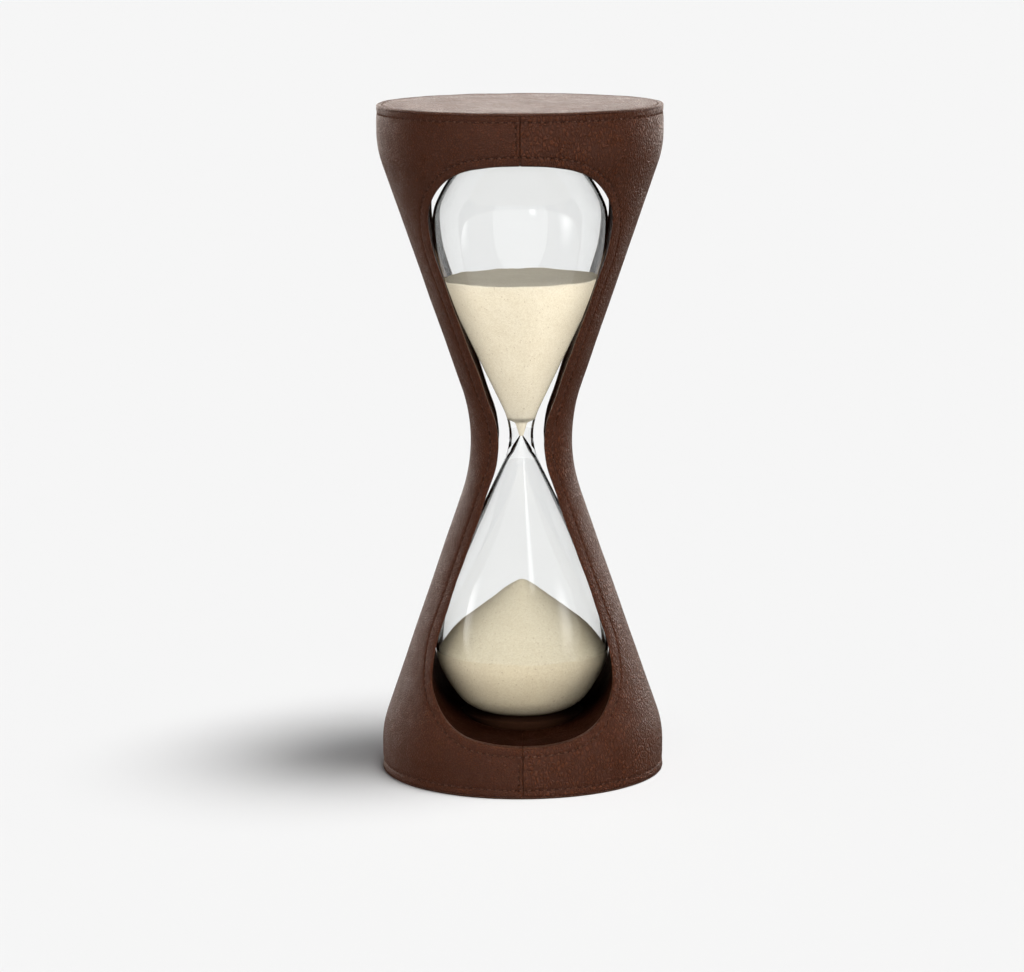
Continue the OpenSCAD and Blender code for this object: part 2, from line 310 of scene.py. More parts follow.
def lathe(name, profile, segments, shape=None):
    """A closed turned solid. The profile runs up the outside and back down the inside or the axis."""
    verts = turned(profile, segments)
    cols = len(profile)
    on_axis = [j for j in range(cols) if profile[j][0] < 1e-6]
    faces = []
    for i in range(segments):
        a0 = i * cols
        b0 = ((i + 1) % segments) * cols
        for j in range(cols):
            k = (j + 1) % cols
            if j in on_axis and k in on_axis:
                continue
            if j in on_axis:
                faces.append((j, b0 + k, a0 + k))
            elif k in on_axis:
                faces.append((a0 + j, b0 + j, k))
            else:
                faces.append((a0 + j, b0 + j, b0 + k, a0 + k))
    if shape is not None:
        verts = shape(verts)
    obj = make(name, verts, faces)
    tidy(obj)
    return obj


def tidy(obj, merge=1e-4):
    """Joins points that meet, drops points that no face uses, and turns the faces outwards."""
    bm = bmesh.new()
    bm.from_mesh(obj.data)
    bmesh.ops.remove_doubles(bm, verts=bm.verts, dist=merge * MM)
    loose = [v for v in bm.verts if not v.link_faces]
    bmesh.ops.delete(bm, geom=loose, context="VERTS")
    bmesh.ops.recalc_face_normals(bm, faces=bm.faces)
    bm.to_mesh(obj.data)
    bm.free()
    return obj


def modifier(obj, kind, **settings):
    """A modifier that stays live, so it is worked out again in each pose."""
    m = obj.modifiers.new(kind.title(), kind)
    for key, value in settings.items():
        setattr(m, key, value)
    return m


def hidden(obj):
    """A helper that only cuts other pieces."""
    obj.hide_render = True
    obj.hide_viewport = True
    return obj


# ---- stitch rows ----------------------------------------------------------------------------
def stitch_centres(points, normals, closed):
    """Where the stitches of a row go: centre, direction along the row and normal, evenly spaced."""
    p, n = np.asarray(points), np.asarray(normals)
    if closed:
        p = np.concatenate([p, p[:1]])
        n = np.concatenate([n, n[:1]])
    at = lengths(p)
    count = max(1, round(at[-1] / STITCH_PITCH))
    middles = (np.arange(count) + 0.5) * at[-1] / count
    near = 0.2

    def look(s, q):
        return np.stack([np.interp(s, at, q[:, i]) for i in range(3)], 1)

    along = look(middles + near, p) - look(middles - near, p)
    along /= np.linalg.norm(along, axis=1, keepdims=True)
    normal = look(middles, n)
    normal /= np.linalg.norm(normal, axis=1, keepdims=True)
    return look(middles, p), along, normal


def window_row():
    """The row round the front window, all the way round."""
    q = resample(WINDOW, np.linspace(0, WINDOW_S, 500))
    right = np.stack([q[:, 0] + WINDOW_ROW * q[:, 2], q[:, 1] + WINDOW_ROW * q[:, 3]], 1)
    side = np.concatenate([right[:0:-1] * (1, -1), right])
    whole = np.concatenate([side, side[-2:0:-1] * (-1, 1)])
    return on_frame(whole[:, 0], whole[:, 1])


def circle_row(r, u, n_r, n_u):
    """A row round the axis, with the normal n_r outwards and n_u upwards."""
    a = np.linspace(0, 2 * math.pi, 1400, endpoint=False)
    c = np.stack([np.cos(a), np.sin(a)], 1)
    p = np.concatenate([r * c, np.full((len(a), 1), u)], 1)
    n = np.concatenate([n_r * c, np.full((len(a), 1), n_u)], 1)
    return p, n


def seam_row(s):
    """The short row beside the front seam, over (s = 1) or under (s = -1) the window."""
    points = 40
    u = s * np.linspace(WINDOW_END_U + WINDOW_ROW + 2, HALF_H - RIM_ROW - 1.5, points)
    return on_frame(np.full(points, -SEAM_ROW), u)


def mirrored(row, x, y):
    """A row whose x or y is turned over where the sign given is -1."""
    return row[0] * (x, y, 1), row[1] * (x, y, 1)


rim_u = HALF_H - RIM_ROW
rim_r = float(frame_r(rim_u))
disc_r = RIM_R - DISC_ROW
ROWS = {
    "thread_window_front": [(window_row(), True)],
    "thread_window_back": [(mirrored(window_row(), -1, -1), True)],
    "thread_sleeve_top": [(circle_row(rim_r, rim_u, 1, 0), True)],
    "thread_sleeve_bottom": [(circle_row(rim_r, -rim_u, 1, 0), True)],
    "thread_top_disc": [(circle_row(disc_r, HALF_H, 0, 1), True)],
    "thread_bottom_disc": [(circle_row(disc_r, -HALF_H, 0, -1), True)],
    "thread_seams": [(mirrored(seam_row(s), 1, y), False) for s in (1, -1) for y in (1, -1)],
}
STITCHES = {
    name: [np.concatenate(x) for x in zip(*[stitch_centres(*row, closed) for row, closed in rows])]
    for name, rows in ROWS.items()
}


def tree_of(points):
    tree = kdtree.KDTree(len(points))
    for i, p in enumerate(points):
        tree.insert(p, i)
    tree.balance()
    return tree


line_tree = tree_of(np.concatenate([row[0] for rows in ROWS.values() for row, _ in rows]))
hole_tree = tree_of(np.concatenate([
    centre + s * STITCH_L / 2 * along
    for centre, along, _ in STITCHES.values()
    for s in (-1, 1)
]))


def stitched(verts, normals, weight):
    """Presses the stitch lines and holes into a skin, and returns it with the painted shade of each point:
    dark in the holes, fainter along the groove.
    """
    out = np.array(verts, float)
    painted_hole_shade = np.zeros(len(out))
    for i, p in enumerate(verts):
        d = line_tree.find(p)[2]
        if d > 4 * VALLEY_W or weight[i] == 0:
            continue
        h = hole_tree.find(p)[2]
        groove = math.exp(-((d / GROOVE_W) ** 2))
        hole = math.exp(-((h / PIT_W) ** 2))
        deep = GROOVE * groove + VALLEY * math.exp(-((d / VALLEY_W) ** 2)) + PIT * hole
        out[i] -= normals[i] * deep * weight[i]
        # Painted shade: the needle holes, and faintly the groove, are marked to be coloured dark.
        painted_hole_shade[i] = min(1, 0.30 * groove + hole) * weight[i]
    return out, painted_hole_shade


def uneven(verts, normals, size, depth):
    """Gentle hollows and swellings, so the skin isn't machine-perfect."""
    out = np.array(verts, float)
    for i, p in enumerate(verts):
        out[i] -= normals[i] * depth * noise.noise(Vector(p) / size)
    return out


def keep_attribute(obj, name, values):
    a = obj.data.attributes.new(name, "FLOAT", "POINT")
    a.data.foreach_set("value", np.asarray(values, np.float32))


# ---- the sleeve -----------------------------------------------------------------------------
# Distances from the window's edge of the skin's points, close together across the stitch row.
NEAR_STEPS = (ROLL, 1.7, 2.1, 2.45, 2.75, 3.0, 3.2, 3.4, 3.6, 3.8, 4.05, 4.35, 4.75, 5.25, 5.85, 6.5)
# The same from the skin's far edge, which is the side, the rim or the seam.
FAR_STEPS = (4.6, 3.9, 3.35, 2.95, 2.65, 2.4, 2.2, 2.0, 1.8, 1.5, 1.15, 0.85, 0.6, 0.4, 0.22, 0.08, 0)
MIDDLE_STEPS = 22
ROLL_STEPS = 7
CORNER_S = WINDOW_S - WINDOW_CORNER_X - WINDOW_CORNER_R * WINDOW_CROWN_A / 2
CORNER_EASE = 14.0


def window_places(side_rows=200, top_rows=150):
    """Distances along a quarter of the window's edge, closer together near the seam."""
    t = np.linspace(0, 1, top_rows + 1)[1:]
    side = np.linspace(0, CORNER_S, side_rows + 1)
    return np.concatenate([side, CORNER_S + (WINDOW_S - CORNER_S) * (1 - (1 - t) ** 1.5)])


def rolled_edge(x, inwards, edge, start, start_n):
    """The leather turned into the window and the roll over its edge, as columns of points and normals."""
    cols = [(edge + (0, depth, 0), inwards) for depth in (FLAP, (FLAP + ROLL) / 2)]
    bend = edge + (0, ROLL, 0)
    for f in np.arange(ROLL_STEPS) / ROLL_STEPS:
        n = (1 - f) * inwards + f * start_n
        p = (1 - f) ** 2 * bend + 2 * f * (1 - f) * edge + f**2 * start
        cols.append((p, n / np.linalg.norm(n, axis=1, keepdims=True)))
    for p, _ in cols:
        p[:, 0] = np.maximum(p[:, 0] - SEAM_HALF * np.clip(1 - x / SEAM_FADE, 0, 1), 0.0)
    return cols


def far_skin(s, inner):
    """The skin from its inner points to the side, the rim or the seam, as columns of points and normals."""
    phi0 = np.arctan2(inner[:, 0], -inner[:, 1])
    u0 = inner[:, 2]
    phi1 = math.pi / 2 * (1 - np.clip((s - CORNER_S) / (WINDOW_S - CORNER_S), 0, 1))
    u1 = SLEEVE_TOP * np.minimum(s / CORNER_S, 1)
    ramp = np.clip((s - CORNER_S + CORNER_EASE) / CORNER_EASE, 0, 1)
    ramp = ramp * ramp * (3 - 2 * ramp)
    across = frame_r(u0) * (phi1 - phi0)
    span = np.maximum(across * (1 - ramp) + np.maximum(u1 - u0, 8) * ramp, 7)
    last = 1 - np.array(FAR_STEPS)[None, :] / span[:, None]
    first = np.arange(1, MIDDLE_STEPS + 1)[None, :] / (MIDDLE_STEPS + 1) * last[:, :1]
    cols = []
    for f in np.concatenate([first, last], 1).T:
        phi = phi0 + (phi1 - phi0) * f
        u = u0 + (u1 - u0) * f
        p, n = on_frame(np.maximum(frame_r(u) * np.sin(phi), SEAM_HALF), u)
        at_side = phi >= math.pi / 2 - 1e-9
        p[at_side, 1] = 0
        n[at_side, 1] = 0
        cols.append((p, n))
    return cols


def sleeve_quarter():
    """Points and normals of the sleeve's right front upper quarter, as a grid, and which columns are skin."""
    s = window_places()
    x, u, nx, nu = resample(WINDOW, s).T
    wobble = 0.12 * np.sin(s / 7.1) + 0.08 * np.sin(s / 2.9 + 1)
    wobble *= np.clip(np.minimum(s, WINDOW_S - s) / 4, 0, 1)

    def outwards(g):
        """The front skin at distance g from the window's edge."""
        gx = x + (g + wobble) * nx
        gu = u + (g + wobble) * nu
        gx = np.sqrt(gx**2 + SEAM_HALF**2 * (nx < 0.9) * np.clip(1 - gx / SEAM_FADE, 0, 1))
        return on_frame(gx, gu)

    inwards = np.stack([-nx, 0 * nx, -nu], 1)
    roll = rolled_edge(x, inwards, outwards(0)[0], *outwards(ROLL))
    near = [outwards(g) for g in NEAR_STEPS]
    cols = roll + near + far_skin(s, near[-1][0])
    skin = (np.arange(len(cols)) >= len(roll)).astype(float)
    return np.stack([p for p, _ in cols], 1), np.stack([n for _, n in cols], 1), skin


def rounded_in(distance, size):
    """How far a skin falls away at the given distance from its edge, for a round edge of that size."""
    q = np.clip(1 - distance / size, 0, 1)
    return size * (1 - np.sqrt(1 - 0.98 * q**2))


def sleeve(name, s):
    """The right (s = 1) or left (s = -1) half of the leather sleeve."""
    grid, norm, skin = sleeve_quarter()
    rows, cols = grid.shape[:2]
    verts, norms, faces = [], [], []
    for y in (1, -1):
        for z in (1, -1):
            sign = np.array((s, y, z))
            quads = grid_faces(rows, cols, start=len(verts) * rows * cols)
            if s * y * z < 0:
                quads = [f[::-1] for f in quads]
            verts.append((grid * sign).reshape(-1, 3))
            norms.append((norm * sign).reshape(-1, 3))
            faces += quads
    v = np.concatenate(verts)
    n = np.concatenate(norms)
    weight = np.tile(skin, 4 * rows)
    v, painted_hole_shade = stitched(v, n, weight)
    v = uneven(v, n, size=16, depth=0.12)
    fall = rounded_in(SLEEVE_TOP - np.abs(v[:, 2]), RIM_ROUND)
    above = np.abs(v[:, 2]) > WINDOW_END_U - 2
    near = np.where(above, np.abs(v[:, 0]) - SEAM_HALF, np.inf)
    fall = np.maximum(fall, rounded_in(np.maximum(near, 0), SEAM_ROUND))
    v = v - n * fall[:, None]
    obj = make(name, v, faces)
    # Keeps the painted shade of the stitch holes and grooves for the leather's colour.
    keep_attribute(obj, "painted_hole_shade", painted_hole_shade)
    thickness = obj.vertex_groups.new(name="thick")
    thickness.add(np.nonzero(weight > 0.5)[0].tolist(), 1.0, "REPLACE")
    thickness.add(np.nonzero(weight <= 0.5)[0].tolist(), THIN_EDGE, "REPLACE")
    tidy(obj)
    solid = modifier(obj, "SOLIDIFY", thickness=(LEATHER_T - 0.1) * MM, offset=-1)
    solid.vertex_group = thickness.name
    solid.thickness_vertex_group = 0.0
    return obj


# ---- the lining -----------------------------------------------------------------------------
def lining(name, s, rows=420, cols=40):
    """The right (s = 1) or left (s = -1) half of the lining: the wall of the window, front to back."""
    q = resample(WINDOW, np.linspace(0, WINDOW_S, rows // 2 + 1))
    q = np.concatenate([q[:0:-1] * (1, -1, 1, -1), q])
    back = 0.1
    x = np.maximum(q[:, 0] + back * q[:, 2], TOUCH)
    u = q[:, 1] + back * q[:, 3]
    deep = -on_frame(q[:, 0], q[:, 1])[0][:, 1] - FLAP - 0.05
    y = np.outer(deep, np.linspace(-1, 1, cols))
    x, u = (np.broadcast_to(side[:, None], y.shape) for side in (x * s, u))
    n = np.stack([-q[:, 2] * s, 0 * deep, -q[:, 3]], 1)
    n = np.repeat(n, cols, axis=0)
    v = uneven(np.stack([x, y, u], -1).reshape(-1, 3), n, size=11, depth=0.10)
    faces = grid_faces(len(q), cols)
    obj = make(name, v, faces)
    bpy.context.view_layer.update()
    middle = obj.data.polygons[len(faces) // 2]
    if middle.normal.x * s > 0:
        obj.data.flip_normals()
    modifier(obj, "SOLIDIFY", thickness=(LEATHER_T - 0.2) * MM, offset=-1)
    modifier(obj, "BOOLEAN", operation="DIFFERENCE", object=frame_cutter(), solver="EXACT")
    return obj


def frame_cutter():
    """The seats and the room round the bulbs, as a hidden solid that cuts the lining."""
    if "frame_cutter" in bpy.data.objects:
        return bpy.data.objects["frame_cutter"]
    upper_seat = [(SEAT_R, WINDOW_END_U - 3), (SEAT_R, SEAT_U), (0, SEAT_U)]
    lower_seat = [(0, -SEAT_U), (SEAT_R, -SEAT_U), (SEAT_R, 6 - WINDOW_END_U)]
    room = both(outside(ROOM)) + (0, GLASS_UP)
    between_bellies = np.abs(room[:, 1]) < 60
    room = room[(room[:, 0] > SEAT_R) | between_bellies]
    return hidden(lathe("frame_cutter", np.concatenate([lower_seat, room, upper_seat]), GLASS_SEGMENTS))


# ---- the end discs --------------------------------------------------------------------------
# Distances from the row of stitches of the points near it.
DISC_STEPS = (-2.2, -1.6, -1.15, -0.85, -0.6, -0.4, -0.2, 0, 0.2, 0.4, 0.6, 0.85)
DISC_SEGMENTS = 720


def disc(name, s):
    """The round leather skin on the top (s = 1) or the bottom (s = -1)."""
    flat = [0.0, *np.arange(6, disc_r - 2.6, 5.2), *(disc_r + np.array(DISC_STEPS))]
    edge_u = HALF_H - DISC_EDGE
    edge = arc(RIM_R - DISC_EDGE, edge_u, DISC_EDGE, math.pi / 2, 0.1, 10)
    lip, neck = RIM_R - 0.25, RIM_R - 1.3
    profile = [(r, HALF_H) for r in flat] + [tuple(p) for p in edge]
    profile += [(lip, edge_u), (neck, edge_u), (neck, DISC_FOOT_U), (0.0, DISC_FOOT_U)]
    cols = len(profile)
    v = turned(profile, DISC_SEGMENTS)
    n = np.tile((0.0, 0.0, 1.0), (len(v), 1))
    top = v[:, 2] > DISC_FOOT_U + 0.3
    v, painted_hole_shade = stitched(v, n, (v[:, 2] > HALF_H - 0.01).astype(float))
    v[top] = uneven(v[top], n[top], size=13, depth=0.15)
    v *= (1, 1, s)
    v[::cols] = v[0]
    v[cols - 1::cols] = v[cols - 1]
    obj = make(name, v, grid_faces(DISC_SEGMENTS, cols, wrap=True))
    # Keeps the painted shade of the stitch holes and grooves for the leather's colour.
    keep_attribute(obj, "painted_hole_shade", painted_hole_shade)
    tidy(obj)
    return obj


# ---- stitches -------------------------------------------------------------------------------
def stitches(name, rings=9, sides=8):
    """Every stitch of a row: short bits of thread that dive into their holes at both ends."""
    rng = np.random.default_rng(len(name))
    verts, faces = [], []
    for centre, along, normal in zip(*STITCHES[name]):
        across = np.cross(normal, along)
        lean = math.radians(STITCH_LEAN + STITCH_SPREAD * rng.standard_normal())
        along = along * math.cos(lean) + across * math.sin(lean)
        across = np.cross(normal, along)
        start = len(verts)
        for k in range(rings + 1):
            f = 2 * k / rings - 1
            reach = f * STITCH_L / 2 * (1 - 0.06 * f * f)
            lift = TOUCH - STITCH_DIVE * abs(f) ** STITCH_BEND - GROOVE - VALLEY
            spine = centre + along * reach + normal * lift
            radius = THREAD_R * (1 - 0.25 * abs(f) ** 3)
            slope = STITCH_DIVE * STITCH_BEND * abs(f) ** (STITCH_BEND - 1) / (STITCH_L / 2)
            tilt = -math.copysign(math.atan(slope), f)
            out = normal * math.cos(tilt) - along * math.sin(tilt)
            for j in range(sides):
                b = 2 * math.pi * j / sides
                verts.append(spine + radius * (math.cos(b) * across * 1.12 + math.sin(b) * out * 0.9))
        for k in range(rings):
            for j in range(sides):
                m = (j + 1) % sides
                a0, b0 = start + k * sides, start + (k + 1) * sides
                faces.append((a0 + j, a0 + m, b0 + m, b0 + j))
        faces.append([start + j for j in range(sides)][::-1])
        faces.append([start + rings * sides + j for j in range(sides)])
    obj = make(name, verts, faces)
    tidy(obj, 1e-6)
    return obj


# ---- glass and sand -------------------------------------------------------------------------
GLASS_SEGMENTS = 192


def bulb_curve(inset, steps=24):
    """A bulb's side from the start of its belly to its flat end, moved inwards by inset."""
    return np.concatenate([
        arc(BULB_R - BELLY_R, BELLY_W, BELLY_R - inset, -BULB_SIDE, 0, steps),
        arc(BULB_R - TURN_R, BELLY_W, TURN_R - inset, 0, TURN_A, steps)[1:],
        arc(DOME_X, DOME_W, DOME_R - inset, TURN_A, DOME_A, steps // 2)[1:],
        arc(END_X, END_W, END_R - inset, DOME_A, math.pi / 2, steps)[1:],
    ])


def outside(grow=0.0):
    """The outside of the glass above its middle, moved outwards by grow."""
    neck = arc(NECK_HALF + NECK_R, 0, NECK_R - grow, math.pi, math.pi - BULB_SIDE, 24)
    return np.concatenate([neck, bulb_curve(-grow)])


def throat(inset, length=THROAT_L, shelf_a=SHELF_A, shelf_in_r=SHELF_IN_R, shelf_out_r=SHELF_OUT_R):
    """The throat inside the neck, moved inwards by inset, and the shelf where it opens."""
    x0 = GLASS_X0 - (WALL + inset) / math.cos(BULB_SIDE)
    bend_r, in_r, out_r = ORIFICE_BEND_R + inset, shelf_in_r + inset, shelf_out_r - inset
    along = np.array((math.sin(THROAT_A), math.cos(THROAT_A)))
    across = np.array((math.cos(THROAT_A), -math.sin(THROAT_A)))
    slant = np.array((math.sin(shelf_a), math.cos(shelf_a)))
    square = np.array((-math.cos(shelf_a), math.sin(shelf_a)))
    orifice = np.array((ORIFICE_R + ORIFICE_BEND_R, 0))
    in_c = orifice - bend_r * across + length * along + in_r * across
    q = in_c + in_r * square
    rise = out_r * (math.sin(shelf_a) - math.sin(BULB_SIDE))
    widen = out_r * (math.cos(BULB_SIDE) - math.cos(shelf_a))
    run = (x0 + math.tan(BULB_SIDE) * (q[1] + rise) - q[0] - widen) / (
        math.sin(shelf_a) - math.tan(BULB_SIDE) * math.cos(shelf_a)
    )
    out_c = q + run * slant + out_r * square
    return np.concatenate([
        arc(*orifice, bend_r, math.pi, math.pi - THROAT_A, 6),
        arc(*in_c, in_r, math.pi - THROAT_A, math.pi - shelf_a, 8),
        arc(*out_c, out_r, -shelf_a, -BULB_SIDE, 8),
    ])


def inside(inset=0.0):
    """The inside of the glass above its middle, moved inwards by inset."""
    return np.concatenate([throat(inset), bulb_curve(WALL + inset)])


def both(side, lower=None):
    """An outline from its upper half, and its lower half where that differs, from the bottom up."""
    lower = side if lower is None else lower
    return np.concatenate([lower[:0:-1] * (1, -1), side])


def glass():
    """The blown glass, with its real wall, its funnel and the filling hole in its lower end."""
    hole = STOPPER_R + 0.05
    lower = np.concatenate([throat(0, **LOWER_THROAT), bulb_curve(WALL)])
    out, back = both(outside()), both(inside(), lower)[::-1]
    out = np.concatenate([[(hole, out[0][1])], out[1:]])
    out = out[(out[:, 0] >= hole) | (out[:, 1] > 0)]
    back = np.concatenate([back[:-1], [(hole, back[-1][1])]])
    back = back[(back[:, 0] >= hole) | (back[:, 1] > 0)]
    out[-1, 0] = back[0, 0] = 0
    return lathe("glass_bulb_blown", np.concatenate([out, back]) + (0, GLASS_UP), GLASS_SEGMENTS)


def bulb_space(name, s):
    """The space inside a bulb, as a hidden solid that shapes the sand."""
    side = inside(SAND_GAP)
    side[-1, 0] = 0
    if s < 0:
        gap = 0.1
        core, tip, end = STOPPER_R + gap, STOPPER_W - gap, side[-1, 1]
        throat_end = 20
        side = side[(side[:, 0] > core) | (side[:, 1] < throat_end)]
        side = np.concatenate([side, [(core, end), (core, tip), (0, tip)]])
    profile = np.concatenate([[(0, side[0][1])], side]) * (1, s) + (0, GLASS_UP)
    return hidden(lathe(name, profile, 144))


def sand(name, surface, bottom, space, segments=150, ring_count=64):
    """A body of sand: a wide column with its own surface, cut to the bulb, so it always fills it."""
    rings = np.concatenate([[0], np.linspace(0.7, BULB_R + 2, ring_count)])
    a = np.linspace(0, 2 * math.pi, segments, endpoint=False)
    x, y = np.outer(np.cos(a), rings), np.outer(np.sin(a), rings)
    z = np.array([[surface(*p) for p in zip(*row)] for row in zip(x, y)])
    z[:, 0] = z[0, 0]
    v = np.stack([x, y, z], -1)
    foot = v[:, -1:] * (1, 1, 0) + (0, 0, bottom)
    v = np.concatenate([v, foot, foot * (0, 0, 1)], 1)
    obj = make(name, v.reshape(-1, 3), grid_faces(segments, v.shape[1], wrap=True))
    tidy(obj)
    modifier(obj, "BOOLEAN", operation="INTERSECT", object=space, solver="EXACT")
    # Faces that look upwards take the second material; on the upper sand that is its painted-shade copy.
    for face in obj.data.polygons:
        face.material_index = int(face.normal.z > 0.3)
    return obj


def ripple(x, y, size, seed):
    """Unevenness of a surface of sand, between -1 and 1."""
    return noise.noise(Vector((x / size, y / size, seed)))


def upper_surface(x, y):
    """Height of the upper sand: level, with a hollow where it runs out."""
    r = math.hypot(x, y)
    hollow = SAND_DIP * math.exp(-((r / 14) ** 2))
    return SAND_U - hollow + 0.55 * ripple(x, y, 13, 3) + 0.22 * ripple(x, y, 3.5, 8) + 0.012 * x


def heap_surface(x, y):
    """Height of the lower sand: a cone with a rounded tip and a foot that falls away."""
    r = math.hypot(x, y)
    cone = HEAP_TIP_U - (math.sqrt(r * r + HEAP_ROUND**2) - HEAP_ROUND) * HEAP_SLOPE
    cone -= HEAP_FOOT * max(0, (r - HEAP_FOOT_R) / (BULB_R - HEAP_FOOT_R)) ** 2
    return cone + min(r / 6, 1) * (0.35 * ripple(x, y, 9, 5) + 0.15 * ripple(x, y, 2.6, 1))


# ---- small inner pieces ---------------------------------------------------------------------
def felt_pad(name, s):
    """A thick felt disc under each end of the glass, with a soft, uneven edge."""
    r, low, high = SEAT_R - SEAT_GAP - 0.1, GLASS_END_W + s * GLASS_UP + 0.03, SEAT_U
    edge = [(r - 0.5, low), (r - 0.15, low + 0.12), (r, low + 0.5), (r, high - 0.3), (r - 0.3, high)]
    flat = [(0.0, low)] + [(q, low) for q in np.linspace(2, r - 1, 12)]

    def fuzz(verts):
        out = verts.copy()
        for i, p in enumerate(verts):
            out[i, :2] *= 1 - 0.004 * (1 + noise.noise(Vector(p) / 1.7))
            if p[2] < high - 0.1:
                out[i, 2] += 0.10 * (1 + noise.noise(Vector(p) / 2.3))
        return out * (1, 1, s)

    return lathe(name, flat + edge + [(0.0, high)], 180, fuzz)


def cork():
    """The stopper in the filling hole: a short cork with eased ends."""
    r, top, foot, ease = STOPPER_R - 0.02, GLASS_UP - STOPPER_W, GLASS_UP - GLASS_END_W, 0.35
    profile = [(0, foot), (r - ease, foot), (r, foot + ease), (r, foot + 2), (r - 0.06, top - ease)]
    profile += [(r - ease, top), (0, top)]
    return lathe("fill_stopper_cork", profile, 64)


# ---- materials ------------------------------------------------------------------------------
def material(name):
    """A new material, with its node tree and its shader."""
    m = bpy.data.materials.new(name)
    m.use_nodes = True
    shader = m.node_tree.nodes["Principled BSDF"]
    return m, m.node_tree, shader


def add(tree, kind, inputs=None, **settings):
    """A node of that kind. inputs maps a socket's name or number to a value or another socket."""
    n = tree.nodes.new("ShaderNode" + kind)
    for key, value in settings.items():
        setattr(n, key, value)
    for key, value in (inputs or {}).items():
        if isinstance(value, bpy.types.NodeSocket):
            tree.links.new(value, n.inputs[key])
        else:
            n.inputs[key].default_value = value
    return n


def math_node(tree, operation, *values):
    return add(tree, "Math", dict(enumerate(values)), operation=operation).outputs[0]


def blend(tree, factor, a, b):
    """A mix of two colours."""
    return add(tree, "Mix", {0: factor, 6: a, 7: b}, data_type="RGBA").outputs[2]


def remap(tree, value, a0, a1, b0, b1):
    """Takes a value from the range a0 to a1 to the range b0 to b1, eased at both ends."""
    ends = {0: value, 1: a0, 2: a1, 3: b0, 4: b1}
    return add(tree, "MapRange", ends, interpolation_type="SMOOTHSTEP").outputs[0]


def noise_fac(tree, place, scale, detail, **inputs):
    """Soft noise, between 0 and 1."""
    settings = {"Vector": place, "Scale": scale, "Detail": detail, **inputs}
    return add(tree, "TexNoise", settings).outputs["Fac"]


def object_place(tree):
    """A point's place on its object, in metres."""
    return add(tree, "TexCoord").outputs["Object"]


def finish_material(tree, shader, colour, height, strength, depth, roughness):
    """Joins up a colour and a bump whose depth is in millimetres."""
    bump = add(tree, "Bump", {"Strength": strength, "Distance": depth * MM, "Height": height})
    tree.links.new(colour, shader.inputs["Base Color"])
    tree.links.new(bump.outputs[0], shader.inputs["Normal"])
    shader.inputs["Roughness"].default_value = roughness


def rgba(c, level=1.0):
    """A colour of three parts, made darker by level, as a node's four numbers."""
    return (*(level * part for part in c), 1.0)


def grey(level):
    return (level, level, level, 1.0)


def pebbles(t, place, cell, stretch, turn):
    """The height of leather's grain: pebbles of size cell in millimetres, smaller ones and fine noise."""
    drift = add(t, "TexNoise", {"Vector": place, "Scale": 1 / (3.5 * cell * MM), "Detail": 2.0})
    drift = add(t, "VectorMath", {0: drift.outputs["Color"], 1: (0.5, 0.5, 0.5)}, operation="SUBTRACT")
    drift = add(t, "VectorMath", {0: drift.outputs[0], "Scale": 1.6 * cell * MM}, operation="SCALE")
    drifted = add(t, "VectorMath", {0: place, 1: drift.outputs[0]}, operation="ADD").outputs[0]
    scale = tuple(k / (cell * MM) for k in stretch)
    grain = add(t, "Mapping", {"Vector": drifted, "Rotation": turn, "Scale": scale}).outputs[0]
    height = math_node(t, "MULTIPLY", noise_fac(t, grain, 3.5, 3.0), 0.5)
    for finer, width, rise in ((1.0, 0.32, 1.0), (2.1, 0.25, 0.35)):
        edge = add(t, "TexVoronoi", {"Vector": grain, "Scale": finer}, feature="DISTANCE_TO_EDGE")
        height = math_node(t, "ADD", height, remap(t, edge.outputs["Distance"], 0.0, width, 0.0, rise))
    strong = remap(t, noise_fac(t, place, 1 / (6 * MM), 2.0), 0.35, 0.7, 0.55, 1.0)
    return math_node(t, "MULTIPLY", height, strong)


def leather(name, dark, light, cell, stretch=(1, 1, 1), turn=(0, 0, 0), depth=1.5, ior=1.42):
    """Pebbled leather with painted shade in the creases between pebbles and in the stitch holes and grooves,
    and paler patches.
    """
    smooth, rough = 0.34, 0.55
    m, t, shader = material(name)
    place = object_place(t)
    height = pebbles(t, place, cell, stretch, turn)
    patch = remap(t, noise_fac(t, place, 1 / (22 * MM), 4.0, Roughness=0.6), 0.3, 0.72, 0.0, 1.0)
    body = blend(t, patch, rgba(dark), rgba(light))
    # Painted shade: the hollows between the pebbles are coloured darker, following the same height as the
    # bump.
    crease = remap(t, height, 0.15, 1.25, 0.0, 1.0)
    crease_shaded = blend(t, crease, rgba(dark, 0.66), body)
    # Painted shade: the stitch holes and grooves are coloured nearly black.
    painted_hole_shade = add(t, "Attribute", attribute_name="painted_hole_shade").outputs["Fac"]
    colour = blend(t, remap(t, painted_hole_shade, 0.15, 1.0, 0.0, 0.93), crease_shaded, rgba(dark, 0.16))
    finish_material(t, shader, colour, height, depth, 0.22 * cell, smooth)
    gloss = math_node(t, "MULTIPLY_ADD", crease, smooth - rough, rough)
    gloss = math_node(t, "ADD", gloss, math_node(t, "MULTIPLY", patch, 0.06))
    t.links.new(gloss, shader.inputs["Roughness"])
    shader.inputs["IOR"].default_value = ior
    return m


